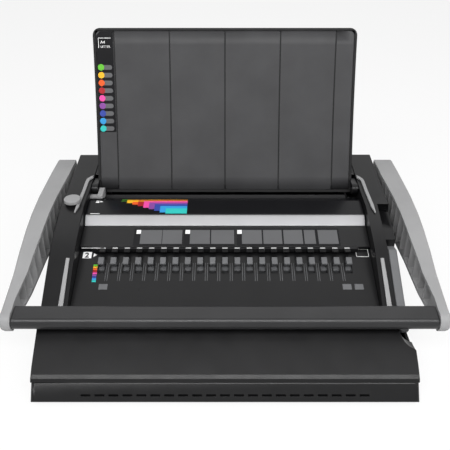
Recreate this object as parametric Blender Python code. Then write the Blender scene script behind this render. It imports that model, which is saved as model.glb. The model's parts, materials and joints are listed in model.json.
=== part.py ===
"""Desktop comb binding machine, built as separate pieces in metres.

+X is the right side, +Y the back, +Z up, and the table is at Z = 0. The lid stands open,
the handle lies lowered in front and the punch pins stand through the paper throat.
"""

import math

import bmesh
import bpy
from mathutils import Matrix

for old in list(bpy.data.objects):
    bpy.data.objects.remove(old, do_unlink=True)

# ---- fits
GAP = 0.0003
RUN = 0.0006
WALL = 0.003
SHEET = 0.0025

# ---- case
HALF_WIDTH = 0.200
BODY_HEIGHT = 0.123
BODY_REAR = 0.158
BODY_FRONT = -0.1765
FLOOR_Z = 0.005
SPLIT_Z = 0.034
COVER_EDGE = -0.114
CHEEK_WIDTH = 0.029
FLANK_X = HALF_WIDTH - CHEEK_WIDTH
NOSE_Y = -0.158
NOSE_Z = 0.029
TOP_DROPS = (
    (COVER_EDGE, 0.0683),
    (-0.0905, 0.0572),
    (-0.0595, 0.0407),
    (-0.0290, 0.0244),
    (0.0050, 0.0144),
    (0.0330, 0.0076),
    (0.0670, 0.0070),
    (BODY_REAR, 0.0),
)

# ---- comb pitch and rows
PITCH = 0.0142875
COMB_COUNT = 21
ROW = [(index - (COMB_COUNT - 1) / 2) * PITCH for index in range(COMB_COUNT)]

# ---- lid and throat
LEAN = math.radians(21.8)
THROAT_Y = 0.0918
THROAT_Z = BODY_HEIGHT - 0.0216
LID_LENGTH = 0.2057
LID_HALF = FLANK_X - 0.006
LID_THICK = 0.0095
LID_SAG = 0.004
LID_CORNER = 0.009
LID_SKIN = 0.0026
PANEL_THICK = 0.002
PANEL_RECESS = 0.0007
GROOVE_PITCH = 0.0695
LID_PIVOT_U = 0.0060
LID_PIVOT_V = -0.0099
LID_PIN_RADIUS = 0.0025
LID_EAR_RADIUS = 0.0070
STOP_U = 0.0235

# ---- punch
DIE_TOP = 0.008
DIE_BOTTOM = 0.034
DIE_THICK = 0.004
SLOT_WIDTH = 0.003
SLOT_REAR = 0.0005
PIN_U = -0.019
PIN_WIDTH = 0.008
PIN_HEIGHT = 0.003
PUNCH_TRAVEL = 0.0105
PUNCH_BAR_V = 0.016
PUNCH_BAR_DEEP = 0.012
PUNCH_BAR_TALL = 0.014
FRAME_X = 0.1583
ROD_X = 0.1520
ROD_RADIUS = 0.0025
SHAFT_RADIUS = 0.005
BUSH_RADIUS = 0.008

# ---- handle
HANDLE_Y = 0.128
HANDLE_Z = BODY_HEIGHT - 0.053
HANDLE_SWING = math.radians(78)
ARM_CLEAR = 0.005
ARM_OUTER = HALF_WIDTH + 0.030
ARM_SKIN = 0.0035
BAR_Y = -0.124
BAR_Z = BODY_HEIGHT - 0.048
BAR_DEEP = 0.022
BAR_TALL = 0.018
CAM_X = 0.120
CAM_WIDTH = 0.008
CAM_HUB = 0.0064

# ---- comb rack
DECK_SLOPE = math.radians(18)
DECK_Y = -0.010
DECK_Z = BODY_HEIGHT - 0.041
DECK_LENGTH = 0.1085
HOOK_WIDTH = 0.0064
HOOK_DEEP = 0.005
HOOK_RISE = 0.0085
HOOK_S = 0.017
RAKE_TRAVEL = 0.012
LEVER_Y = -0.026
LEVER_Z = 0.025
LEVER_RADIUS = 0.004
CRANK_LENGTH = 0.0334
CRANK_TIP = 0.004
LUG_THICK = 0.003
CRANK_X = 0.100
WELL_X = HALF_WIDTH - 0.0145
LEVER_WIDTH = 0.010
SCOOP_LONG = 0.040
SCOOP_DEEP = 0.0235
SCOOP_WIDE = 0.0195
LEVER_FRONT = -0.116

# ---- punch housing
HOUSING_FRONT = 0.0313
HOUSING_CREST = 0.062
LEAD_Y = 0.081
LEAD_Z = THROAT_Z - 0.0026
CREST_Z = BODY_HEIGHT - 0.015

# ---- edge guide, knob, tray, feet
GUIDE_ARM_Y = (0.0670, 0.0740)
GUIDE_ARM_Z = (BODY_HEIGHT - 0.0172, BODY_HEIGHT - 0.0147)
GUIDE_TRAVEL = 0.009
KNOB_X = HALF_WIDTH - 0.014
KNOB_Y = 0.039
KNOB_RADIUS = 0.010
PINION_RADIUS = 0.0057
TRAY_FRONT_Y = 0.030
TRAY_REAR_Y = 0.122
TRAY_TOP = 0.030
TRAY_END_X = 0.150
FOOT_RADIUS = 0.009
FOOT_INSET = 0.022
TRIM_THICK = 0.0018


def collection(name):
    """Make a collection in the scene."""
    group = bpy.data.collections.new(name)
    bpy.context.scene.collection.children.link(group)
    return group


PARTS = collection("comb_binding_machine")
CUTTERS = collection("cutters")


def material(name, color, roughness, metallic=0.0):
    """One plain Principled material."""
    made = bpy.data.materials.new(name)
    made.use_nodes = True
    shader = made.node_tree.nodes["Principled BSDF"]
    shader.inputs["Base Color"].default_value = (*color, 1.0)
    shader.inputs["Roughness"].default_value = roughness
    shader.inputs["Metallic"].default_value = metallic
    return made


BLACK = material("case_black", (0.02, 0.02, 0.021), 0.45)
CHARCOAL = material("panel_charcoal", (0.05, 0.05, 0.052), 0.5)
PALE = material("pale_grey", (0.35, 0.35, 0.36), 0.55)
SILVER = material("silver_trim", (0.55, 0.55, 0.56), 0.35, 0.3)
STEEL = material("plain_steel", (0.5, 0.5, 0.51), 0.35, 1.0)
RUBBER = material("foot_rubber", (0.02, 0.02, 0.02), 0.9)


# ---- building helpers

def place(obj, surface):
    """Put a finished part in the parts collection with its material."""
    PARTS.objects.link(obj)
    obj.data.materials.clear()
    obj.data.materials.append(surface)
    return obj


def helper(obj):
    """Keep a cutting or joining body out of the parts."""
    CUTTERS.objects.link(obj)
    obj.hide_render = True
    obj.display_type = "WIRE"
    return obj


def carve(target, *tools, how="DIFFERENCE"):
    """Cut the tools from the target, or join them to it."""
    for tool in tools:
        helper(tool)
        change = target.modifiers.new(tool.name, "BOOLEAN")
        change.operation = how
        change.solver = "EXACT"
        change.object = tool
    return target


def join(target, *tools):
    """Join the tools to the target."""
    return carve(target, *tools, how="UNION")


def prism(name, points, low, high, axis="X"):
    """Solid with its outline across an axis: (Y, Z) along X, or (X, Y) along Z."""
    outline = bpy.data.curves.new(name, "CURVE")
    outline.dimensions = "2D"
    outline.fill_mode = "BOTH"
    outline.extrude = (high - low) / 2
    spline = outline.splines.new("POLY")
    spline.points.add(len(points) - 1)
    for knot, (a, b) in zip(spline.points, points):
        knot.co = (a, b, 0.0, 1.0)
    spline.use_cyclic_u = True
    drawn = bpy.data.objects.new(name, outline)
    CUTTERS.objects.link(drawn)
    graph = bpy.context.evaluated_depsgraph_get()
    mesh = bpy.data.meshes.new_from_object(drawn.evaluated_get(graph))
    bpy.data.objects.remove(drawn, do_unlink=True)
    mesh.name = name
    shell = bmesh.new()
    shell.from_mesh(mesh)
    bmesh.ops.remove_doubles(shell, verts=shell.verts, dist=1e-6)
    bmesh.ops.recalc_face_normals(shell, faces=shell.faces)
    shell.to_mesh(mesh)
    shell.free()
    obj = bpy.data.objects.new(name, mesh)
    middle = (low + high) / 2
    if axis == "X":
        obj.rotation_euler = (math.pi / 2, 0.0, math.pi / 2)
        obj.location = (middle, 0.0, 0.0)
    else:
        obj.location = (0.0, 0.0, middle)
    return obj


def side_prism(name, points, near, far, side):
    """Prism along X on one side of the machine, between two distances from its middle."""
    low, high = sorted((side * near, side * far))
    return prism(name, points, low, high)


def boxes(name, size, centres, tilt=0.0):
    """Equal boxes in one mesh, tilted about X."""
    mesh = bpy.data.meshes.new(name)
    shell = bmesh.new()
    for centre in centres:
        matrix = Matrix.Translation(centre) @ Matrix.Rotation(tilt, 4, "X")
        matrix = matrix @ Matrix.Diagonal((*size, 1.0))
        bmesh.ops.create_cube(shell, size=1.0, matrix=matrix)
    shell.to_mesh(mesh)
    shell.free()
    return bpy.data.objects.new(name, mesh)


def span_box(name, x_range, y_range, z_range):
    """Box between two corners."""
    size = [high - low for low, high in (x_range, y_range, z_range)]
    centre = [(high + low) / 2 for low, high in (x_range, y_range, z_range)]
    return boxes(name, size, [centre])


def cylinder(name, radius, low, high, centre, axis="X", sides=32):
    """Cylinder along X at (Y, Z), or along Z at (X, Y)."""
    mesh = bpy.data.meshes.new(name)
    shell = bmesh.new()
    middle = (low + high) / 2
    if axis == "X":
        matrix = Matrix.Translation((middle, *centre)) @ Matrix.Rotation(math.pi / 2, 4, "Y")
    else:
        matrix = Matrix.Translation((*centre, middle))
    bmesh.ops.create_cone(shell, cap_ends=True, segments=sides, radius1=radius,
                          radius2=radius, depth=high - low, matrix=matrix)
    shell.to_mesh(mesh)
    shell.free()
    mesh.shade_smooth()
    mesh.set_sharp_from_angle(angle=math.radians(40))
    return bpy.data.objects.new(name, mesh)


def dome(name, centre, radii):
    """Ellipsoid about a point, with its poles along X."""
    mesh = bpy.data.meshes.new(name)
    shell = bmesh.new()
    matrix = Matrix.Translation(centre) @ Matrix.Diagonal((*radii, 1.0))
    matrix = matrix @ Matrix.Rotation(math.pi / 2, 4, "Y")
    bmesh.ops.create_uvsphere(shell, u_segments=40, v_segments=20, radius=1.0, matrix=matrix)
    shell.to_mesh(mesh)
    shell.free()
    return bpy.data.objects.new(name, mesh)


def side_cylinder(name, radius, near, far, centre, side, sides=32):
    """Cylinder along X on one side of the machine."""
    low, high = sorted((side * near, side * far))
    return cylinder(name, radius, low, high, centre, sides=sides)


def row_of(source, centres):
    """Repeat a body along X, in one mesh, and drop the source."""
    mesh = source.data
    shell = bmesh.new()
    matrix = Matrix.LocRotScale(source.location, source.rotation_euler, source.scale)
    for centre in centres:
        copy = mesh.copy()
        copy.transform(Matrix.Translation((centre, 0.0, 0.0)) @ matrix)
        shell.from_mesh(copy)
        bpy.data.meshes.remove(copy)
    joined = bpy.data.meshes.new(source.name)
    shell.to_mesh(joined)
    shell.free()
    name = source.name
    bpy.data.objects.remove(source, do_unlink=True)
    return bpy.data.objects.new(name, joined)


def arc(centre, radius, start, end, steps):
    """Points of an arc, angles in degrees."""
    points = []
    for step in range(steps + 1):
        angle = math.radians(start + (end - start) * step / steps)
        points.append((centre[0] + radius * math.cos(angle), centre[1] + radius * math.sin(angle)))
    return points


def top_z(y):
    """Height of the case's top edge at a depth."""
    stations = [(depth, BODY_HEIGHT - drop) for depth, drop in TOP_DROPS]
    if y <= stations[0][0]:
        return stations[0][1]
    for (y0, z0), (y1, z1) in zip(stations, stations[1:]):
        if y <= y1:
            return z0 + (z1 - z0) * (y - y0) / (y1 - y0)
    return stations[-1][1]


def top_points(front, rear, lift=0.0):
    """The top edge between two depths, front to back, raised by lift."""
    middle = [depth for depth, _ in TOP_DROPS if front < depth < rear]
    return [(y, top_z(y) + lift) for y in (front, *middle, rear)]


def band(front, rear, low, high):
    """Outline of a strip that follows the top edge."""
    return top_points(front, rear, high) + top_points(front, rear, low)[::-1]


def lid_point(u, v):
    """Lid frame to (Y, Z): u runs up the lid, v out of its back."""
    return (THROAT_Y + u * math.sin(LEAN) + v * math.cos(LEAN),
            THROAT_Z + u * math.cos(LEAN) - v * math.sin(LEAN))


def lid_bow(u):
    """How far the lid curves away from its chord."""
    half = LID_LENGTH / 2
    return LID_SAG * (1 - ((u - half) / half) ** 2)


def lid_band(start, end, inner, outer, steps=12):
    """Outline of a curved layer of the lid."""
    stations = [start + (end - start) * step / steps for step in range(steps + 1)]
    front = [lid_point(u, lid_bow(u) + inner) for u in stations]
    back = [lid_point(u, lid_bow(u) + outer) for u in stations]
    return front + back[::-1]


def throat_box(name, u_range, v_range, half):
    """Plate in the frame of the lid, across the machine."""
    corners = [(u_range[0], v_range[0]), (u_range[1], v_range[0]),
               (u_range[1], v_range[1]), (u_range[0], v_range[1])]
    return prism(name, [lid_point(u, v) for u, v in corners], -half, half)


def deck_point(s, h):
    """Deck frame to (Y, Z): s runs forward down the slope, h stands on it."""
    return (DECK_Y - s * math.cos(DECK_SLOPE) - h * math.sin(DECK_SLOPE),
            DECK_Z - s * math.sin(DECK_SLOPE) + h * math.cos(DECK_SLOPE))


def deck_shape(corners):
    """Outline given in the deck's frame."""
    return [deck_point(s, h) for s, h in corners]


HANDLE_AXIS = (HANDLE_Y, HANDLE_Z)
LID_AXIS = lid_point(LID_PIVOT_U, LID_PIVOT_V)
LEVER_AXIS = (LEVER_Y, LEVER_Z)


# ---- case

def base_pan():
    """Bottom tray with the front skirt, its slots and the drawer window."""
    front_top = (NOSE_Y - 0.0056, NOSE_Z - 0.0075)
    outline = [(BODY_FRONT, FLOOR_Z), (BODY_REAR, FLOOR_Z), (BODY_REAR, SPLIT_Z),
               (COVER_EDGE - 0.014, SPLIT_Z), front_top]
    pan = place(prism("base_pan", outline, -HALF_WIDTH, HALF_WIDTH), BLACK)
    floor = FLOOR_Z + WALL
    hollow = [(BODY_FRONT + WALL + 0.001, floor), (BODY_REAR - WALL, floor),
              (BODY_REAR - WALL, SPLIT_Z + 0.02), (front_top[0] + WALL, SPLIT_Z + 0.02),
              (front_top[0] + WALL, front_top[1])]
    inside = HALF_WIDTH - WALL
    carve(pan, prism("pan_hollow", hollow, -inside, inside))
    slot_z = (FLOOR_Z + front_top[1]) / 2 - 0.001
    slot_y = BODY_FRONT + (slot_z - FLOOR_Z) * (front_top[0] - BODY_FRONT) / (front_top[1] - FLOOR_Z)
    slots = boxes("pan_slots", (0.010, 0.014, 0.0018), [(x, slot_y, slot_z) for x in ROW])
    carve(pan, slots)
    window = span_box("drawer_window", (-HALF_WIDTH - 0.01, -inside + 0.001),
                      (TRAY_FRONT_Y - 0.003, TRAY_REAR_Y + 0.003),
                      (floor - 0.0001, TRAY_TOP + 0.0015))
    carve(pan, window)
    return pan


def lever_tip():
    """Front end of the lever's paddle, seen from the side."""
    return [(LEVER_FRONT, top_z(LEVER_FRONT) - 0.0048),
            (LEVER_FRONT + 0.0015, top_z(LEVER_FRONT) - 0.0018)]


def front_cover():
    """Sloping nose under the grip bar, with the finger scoop on the right."""
    rear = COVER_EDGE - GAP
    lift = GAP
    lower = [(NOSE_Y - 0.0054, NOSE_Z - 0.0072 + lift), (COVER_EDGE - 0.014, SPLIT_Z + lift),
             (rear, SPLIT_Z + lift)]
    nose = [(NOSE_Y, NOSE_Z), (NOSE_Y - 0.0034, NOSE_Z - 0.0026), (NOSE_Y - 0.0054, NOSE_Z - 0.0055)]
    outline = [(rear, top_z(COVER_EDGE))] + nose + lower
    cover = place(prism("front_cover", outline, -HALF_WIDTH, HALF_WIDTH), BLACK)
    slope = (top_z(COVER_EDGE) - NOSE_Z) / (COVER_EDGE - NOSE_Y)
    drop = WALL * math.hypot(1.0, slope)
    hollow = [(rear - WALL, top_z(COVER_EDGE) - WALL * slope - drop),
              (NOSE_Y + 0.0012, NOSE_Z - drop + 0.0008),
              (NOSE_Y - 0.0022, NOSE_Z - 0.008), (NOSE_Y - 0.0022, SPLIT_Z - 0.03),
              (rear - WALL, SPLIT_Z - 0.03)]
    carve(cover, prism("cover_hollow", hollow, -HALF_WIDTH + WALL, WELL_X - SCOOP_WIDE / 2))
    reach = max(math.dist(point, LEVER_AXIS) for point in lever_tip()) + 2 * RUN
    carve(cover, cylinder("lever_sweep", reach, WELL_X, HALF_WIDTH + 0.01, LEVER_AXIS, sides=96))
    carve(cover, dome("cover_scoop", (HALF_WIDTH + 0.003, COVER_EDGE, top_z(COVER_EDGE) + 0.006),
                      (SCOOP_WIDE, SCOOP_LONG, SCOOP_DEEP)))
    return cover


def side_cover(side):
    """Hollow cheek beside the working parts; the right one holds the lever well."""
    name = "right_side_cover" if side > 0 else "left_side_cover"
    base = SPLIT_Z + GAP
    outline = top_points(COVER_EDGE, BODY_REAR) + [(BODY_REAR, base), (COVER_EDGE, base)]
    cover = place(side_prism(name, outline, FLANK_X, HALF_WIDTH, side), BLACK)
    low = SPLIT_Z - 0.02
    well_rear = 0.038
    deep_rear = -0.010
    front = COVER_EDGE + WALL
    rear = BODY_REAR - WALL
    inner = FLANK_X + WALL
    outer = HALF_WIDTH - WALL

    def hollow(name, start, end, drop, near, far):
        shape = top_points(start, end, -drop) + [(end, low), (start, low)]
        return side_prism(name, shape, near, far, side)

    if side > 0:
        carve(cover, hollow("rear_hollow", well_rear + WALL, rear, WALL, inner, outer))
        carve(cover, hollow("inner_hollow", front, well_rear + WALL + 0.001, WALL + GAP,
                            inner + GAP, WELL_X - WALL))
        carve(cover, hollow("shallow_hollow", deep_rear + WALL, well_rear + WALL + 0.002, 0.0115,
                            WELL_X - WALL - 0.001, outer - GAP))
        shallow = band(deep_rear - 0.001, well_rear, -0.0085, 0.02)
        carve(cover, prism("shallow_well", shallow, WELL_X, HALF_WIDTH + 0.01))
        deep = top_points(COVER_EDGE - 0.01, deep_rear, 0.02)
        deep = deep + [(deep_rear, low), (COVER_EDGE - 0.01, low)]
        carve(cover, prism("lever_well", deep, WELL_X, HALF_WIDTH + 0.01))
    else:
        carve(cover, hollow("left_hollow", front, rear, WALL, inner, outer))
        arm_slot = span_box("guide_slot", (-FLANK_X - WALL - 0.001, -FLANK_X + 0.001),
                            (GUIDE_ARM_Y[0] - RUN, GUIDE_ARM_Y[1] + RUN),
                            (GUIDE_ARM_Z[0] - RUN, GUIDE_ARM_Z[1] + RUN))
        carve(cover, arm_slot)
        stem_hole = cylinder("stem_hole", 0.0034, BODY_HEIGHT - 0.033, BODY_HEIGHT + 0.017,
                             (-KNOB_X, KNOB_Y), axis="Z")
        carve(cover, stem_hole)
    carve(cover, side_cylinder("shaft_hole", SHAFT_RADIUS + RUN, FLANK_X - 0.01,
                               HALF_WIDTH + 0.01, HANDLE_AXIS, side))
    carve(cover, side_cylinder("lid_pin_hole", LID_PIN_RADIUS + GAP, FLANK_X - 0.001,
                               FLANK_X + WALL + 0.001, LID_AXIS, side, sides=24))
    return cover


def rear_cover():
    """Back wall and the strip behind the lid, which stops the open lid."""
    stop = lid_point(STOP_U, LID_THICK + lid_bow(STOP_U) + GAP)
    under = lid_point(STOP_U - WALL, LID_THICK + lid_bow(STOP_U - WALL) + GAP)
    outline = [stop, (BODY_REAR, top_z(BODY_REAR)), (BODY_REAR, SPLIT_Z + GAP),
               (BODY_REAR - WALL, SPLIT_Z + GAP), (BODY_REAR - WALL, top_z(BODY_REAR) - WALL), under]
    return place(prism("rear_cover", outline, -FLANK_X + GAP, FLANK_X - GAP), BLACK)


def housing_top():
    """Black top of the punch housing and the slope that leads paper into the throat."""
    outline = [(HOUSING_FRONT, CREST_Z - 0.003), (HOUSING_CREST - 0.004, CREST_Z),
               (HOUSING_CREST, CREST_Z - 0.0008), (LEAD_Y, LEAD_Z),
               (LEAD_Y, LEAD_Z - SHEET), (HOUSING_CREST - 0.001, CREST_Z - 0.0034),
               (HOUSING_FRONT, CREST_Z - 0.003 - SHEET)]
    half = FLANK_X - GAP
    top = place(prism("housing_top", outline, -half, half), BLACK)
    ear_room = LID_AXIS[0] - LID_EAR_RADIUS - 0.001
    for side in (-1, 1):
        x_range = sorted((side * (LID_HALF - 0.0007), side * (FLANK_X + 0.01)))
        room = span_box("ear_room", x_range, (ear_room, ear_room + 0.03), (0.05, CREST_Z + 0.02))
        carve(top, room)
    return top


def silver_bar():
    """Bright bar along the front edge of the housing top."""
    outline = [(0.0185, CREST_Z - 0.0118), (0.0270, CREST_Z - 0.0034), (0.0285, CREST_Z - 0.0030),
               (0.0308, CREST_Z - 0.0034), (0.0308, CREST_Z - 0.0066), (0.0215, CREST_Z - 0.0148)]
    return place(prism("silver_bar", outline, -FLANK_X + 0.0014, FLANK_X - 0.0014), SILVER)


def instruction_panel():
    """Sloping plate in front of the silver bar."""
    outline = [(-0.0124, DECK_Z + 0.0056), (0.0178, CREST_Z - 0.0116),
               (0.0186, CREST_Z - 0.0143), (-0.0124, DECK_Z + 0.0028)]
    return place(prism("instruction_panel", outline, -FLANK_X + GAP, FLANK_X - GAP), BLACK)


def trim(side, front, rear, name, curve_in):
    """Pale strip on the inner top edge of a cheek."""
    near = FLANK_X + 0.0045
    far = near + 0.0055
    low = GAP
    strip = side_prism(name, band(front, rear, low, low + TRIM_THICK), FLANK_X + 0.0005, far, side)
    place(strip, PALE)
    if curve_in:
        bend = rear - 0.030
        outer = [(far, front - 0.001), (near + 0.005, front + 0.006), (near + 0.004, bend)]
        outer = outer + arc((near - 0.012, bend), 0.016, 0, 80, 8)
        inner = arc((near - 0.012, bend), 0.012, 80, 0, 8)
        inner = inner + [(near + 0.0012, front + 0.010), (far - 0.001, front - 0.001)]
        plan = [(side * x, y) for x, y in outer + inner]
    else:
        plan = [(side * x, y) for x, y in ((near, rear), (far - 0.0015, rear), (far, front),
                                           (near, front))]
    mask = prism(name + "_plan", plan, 0.02, BODY_HEIGHT + 0.03, axis="Z")
    carve(strip, mask, how="INTERSECT")
    return strip


# ---- comb rack

def comb_deck():
    """Sloping deck with one slot for each hook."""
    outline = deck_shape([(0.0, 0.0), (DECK_LENGTH, 0.0), (DECK_LENGTH, -WALL), (0.0, -WALL)])
    deck = place(prism("comb_deck", outline, -FLANK_X + GAP, FLANK_X - GAP), BLACK)
    start = HOOK_S - RUN
    end = HOOK_S + HOOK_DEEP + RAKE_TRAVEL + RUN
    y, z = deck_point((start + end) / 2, 0.0)
    slots = boxes("deck_slots", (HOOK_WIDTH + 2 * RUN, end - start, 0.02),
                  [(x, y, z) for x in ROW], tilt=DECK_SLOPE)
    carve(deck, slots)
    return deck


def finger_plate():
    """Fixed strip with one finger over each hook."""
    foot = DECK_Z - 0.0006
    outline = [(-0.0172, foot + 0.0012), (-0.0152, foot + 0.0012), (-0.0152, foot + 0.0040),
               (-0.0127, foot + 0.0040), (-0.0127, foot + 0.0062), (-0.0172, foot + 0.0062)]
    plate = place(prism("finger_plate", outline, -0.1560, 0.1560), BLACK)
    fingers = boxes("fingers", (0.0068, 0.0060, 0.0022),
                    [(x, -0.0195, foot + 0.0051) for x in ROW])
    join(plate, fingers)
    return plate


def comb_rake():
    """Sliding bar with 21 hooks that pull the comb open."""
    bar = deck_shape([(0.010, -0.004), (0.028, -0.004), (0.028, -0.0095), (0.010, -0.0095)])
    rake = place(prism("comb_rake", bar, -0.156, 0.156), PALE)
    rear = HOOK_S
    front = HOOK_S + HOOK_DEEP
    hook = deck_shape([(rear, -0.006), (rear, HOOK_RISE - 0.0012), (rear + 0.0012, HOOK_RISE),
                       (front + 0.004, HOOK_RISE), (front + 0.005, HOOK_RISE - 0.001),
                       (front + 0.005, HOOK_RISE - 0.0035), (front, HOOK_RISE - 0.0045),
                       (front, -0.006)])
    hooks = row_of(prism("hooks", hook, -HOOK_WIDTH / 2, HOOK_WIDTH / 2), ROW)
    join(rake, hooks)
    lug_low = LEVER_Z + CRANK_LENGTH - 0.001
    reach = CRANK_TIP + 0.0008 + LUG_THICK / 2
    for index, shift in enumerate((-reach, reach)):
        y = LEVER_Y + shift
        lug_high = deck_point((DECK_Y - y) / math.cos(DECK_SLOPE), -0.0068)[1]
        lugs = boxes("lugs_%d" % index, (0.008, LUG_THICK, lug_high - lug_low),
                     [(x, y, (lug_low + lug_high) / 2) for x in (-CRANK_X, CRANK_X)])
        join(rake, lugs)
    return rake


def lever_shaft():
    """Cross shaft that the comb lever turns."""
    return place(cylinder("lever_shaft", LEVER_RADIUS, -0.1655, WELL_X + 0.0005, LEVER_AXIS, sides=24),
                 STEEL)


def crank(side):
    """Crank that pushes the rake."""
    name = "right_crank" if side > 0 else "left_crank"
    tip = (LEVER_Y, LEVER_Z + CRANK_LENGTH)
    neck = [(LEVER_Y - 0.0024, tip[1] - 0.006), (LEVER_Y - 0.0036, tip[1] - 0.016)]
    mirrored = [(2 * LEVER_Y - y, z) for y, z in neck[::-1]]
    outline = arc(tip, CRANK_TIP, -40, 220, 10) + neck + arc(LEVER_AXIS, 0.0085, 150, 390, 12) + mirrored
    arm = place(side_prism(name, outline, CRANK_X - 0.003, CRANK_X + 0.003, side), STEEL)
    carve(arm, side_cylinder("crank_hole", LEVER_RADIUS + GAP, CRANK_X - 0.01, CRANK_X + 0.01,
                             LEVER_AXIS, side, sides=24))
    return arm


def comb_lever():
    """Lever in the right well, pressed down to open the comb."""
    near = WELL_X + 0.001
    paddle = top_points(-0.112, -0.031, -0.0015)
    outline = lever_tip() + paddle
    outline = outline + [(-0.019, BODY_HEIGHT - 0.0300), (LEVER_Y + 0.010, LEVER_Z)]
    outline = outline + arc(LEVER_AXIS, 0.010, 0, -180, 12)
    outline = outline + [(-0.042, 0.048), (-0.060, 0.055), (-0.090, 0.045), (-0.112, 0.0435)]
    lever = place(prism("comb_lever", outline, near, near + LEVER_WIDTH), CHARCOAL)
    return lever


# ---- punch

def die_plate(front):
    """Slotted die plate; the front one is in front of the paper."""
    if front:
        name = "front_die_plate"
        v_range = (SLOT_REAR - SLOT_WIDTH - DIE_THICK, SLOT_REAR - SLOT_WIDTH)
        start = -DIE_TOP
    else:
        name = "rear_die_plate"
        v_range = (SLOT_REAR, SLOT_REAR + DIE_THICK)
        start = -0.004
    plate = place(throat_box(name, (-DIE_BOTTOM, start), v_range, FRAME_X - GAP), STEEL)
    y, z = lid_point(PIN_U, (v_range[0] + v_range[1]) / 2)
    holes = boxes("die_holes", (PIN_WIDTH + 2 * GAP, 0.02, PIN_HEIGHT + 2 * GAP),
                  [(x, y, z) for x in ROW], tilt=-LEAN)
    carve(plate, holes)
    return plate


def paper_stop():
    """Strip between the die plates that the paper's edge stands on."""
    return place(throat_box("paper_stop", (-DIE_BOTTOM + 0.001, -DIE_BOTTOM + 0.005),
                            (SLOT_REAR - SLOT_WIDTH + GAP, SLOT_REAR - GAP), FRAME_X - GAP), CHARCOAL)


def punch_bar():
    """Bar that carries the 21 punch pins."""
    low = PIN_U - PUNCH_BAR_TALL / 2
    high = PIN_U + PUNCH_BAR_TALL / 2
    bar = throat_box("punch_bar", (low, high), (PUNCH_BAR_V, PUNCH_BAR_V + PUNCH_BAR_DEEP),
                     FRAME_X - RUN)
    place(bar, STEEL)
    tip = SLOT_REAR - SLOT_WIDTH - DIE_THICK - 0.0005
    root = PUNCH_BAR_V + 0.004
    y, z = lid_point(PIN_U, (tip + root) / 2)
    pins = boxes("pins", (PIN_WIDTH, root - tip, PIN_HEIGHT), [(x, y, z) for x in ROW], tilt=-LEAN)
    join(bar, pins)
    for side in (-1, 1):
        carve(bar, rod(side, "rod_hole", ROD_RADIUS + GAP, -0.03, 0.08))
    return bar


def rod(side, name, radius, start, end):
    """Round rod along the pins' travel, at one end of the bar."""
    mesh = bpy.data.meshes.new(name)
    shell = bmesh.new()
    bmesh.ops.create_cone(shell, cap_ends=True, segments=20, radius1=radius, radius2=radius,
                          depth=end - start, matrix=Matrix.Rotation(math.pi / 2, 4, "X"))
    shell.to_mesh(mesh)
    shell.free()
    made = bpy.data.objects.new(name, mesh)
    y, z = lid_point(PIN_U, (start + end) / 2)
    made.location = (side * ROD_X, y, z)
    made.rotation_euler = (-LEAN, 0.0, 0.0)
    return made


def guide_rod(side):
    """Rod behind the rear die plate that the punch bar slides on."""
    name = "right_guide_rod" if side > 0 else "left_guide_rod"
    start = SLOT_REAR + DIE_THICK + GAP
    end = PUNCH_BAR_V + PUNCH_BAR_DEEP + PUNCH_TRAVEL + RUN
    return place(rod(side, name, ROD_RADIUS, start, end), STEEL)


def side_frame(side):
    """Steel side frame on the pan's floor; it carries the dies and both shafts."""
    name = "right_side_frame" if side > 0 else "left_side_frame"
    floor = FLOOR_Z + WALL + GAP
    outline = [(-0.044, floor), (0.140, floor), (0.140, HANDLE_Z + 0.016),
               (0.116, BODY_HEIGHT - 0.031), (0.030, BODY_HEIGHT - 0.031),
               (-0.006, DECK_Z - 0.0085), (-0.044, DECK_Z - 0.0235)]
    frame = place(side_prism(name, outline, FRAME_X, FRAME_X + WALL, side), STEEL)
    carve(frame, span_box("tray_room", (-0.21, 0.21), (TRAY_FRONT_Y - 0.003, TRAY_REAR_Y + 0.003),
                          (-0.01, TRAY_TOP + 0.0035)))
    carve(frame, side_cylinder("bush_hole", BUSH_RADIUS + GAP, 0.15, 0.17, HANDLE_AXIS, side))
    carve(frame, side_cylinder("lever_hole", LEVER_RADIUS + GAP, 0.15, 0.17, LEVER_AXIS, side,
                               sides=24))
    return frame


def shaft_bush(side):
    """Bush of the pivot shaft in a side frame."""
    name = "right_shaft_bush" if side > 0 else "left_shaft_bush"
    bush = place(side_cylinder(name, BUSH_RADIUS, FRAME_X, FRAME_X + WALL + 0.002, HANDLE_AXIS, side),
                 PALE)
    carve(bush, side_cylinder("bush_bore", SHAFT_RADIUS + GAP, 0.15, 0.17, HANDLE_AXIS, side))
    return bush


# ---- handle

def arm_top():
    """Top edge of an arm, back to front."""
    return [(0.152, BODY_HEIGHT - 0.005), (0.115, BODY_HEIGHT - 0.0035), (0.050, BODY_HEIGHT - 0.003),
            (0.015, BODY_HEIGHT - 0.0055), (-0.012, BODY_HEIGHT - 0.010),
            (-0.045, BODY_HEIGHT - 0.0185), (-0.074, BODY_HEIGHT - 0.028),
            (-0.100, BODY_HEIGHT - 0.0335), (-0.122, BODY_HEIGHT - 0.038)]


def arm_bottom():
    """Bottom edge of an arm, front to back."""
    return [(-0.1300, BODY_HEIGHT - 0.0600), (-0.112, BODY_HEIGHT - 0.0605),
            (-0.074, BODY_HEIGHT - 0.058), (-0.020, BODY_HEIGHT - 0.050),
            (0.050, BODY_HEIGHT - 0.050), (0.090, BODY_HEIGHT - 0.062)]


def along(points, y):
    """Height of an edge at a depth."""
    ordered = sorted(points)
    for (y0, z0), (y1, z1) in zip(ordered, ordered[1:]):
        if y0 <= y <= y1:
            return z0 + (z1 - z0) * (y - y0) / (y1 - y0)
    return ordered[0][1] if y < ordered[0][0] else ordered[-1][1]


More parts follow.
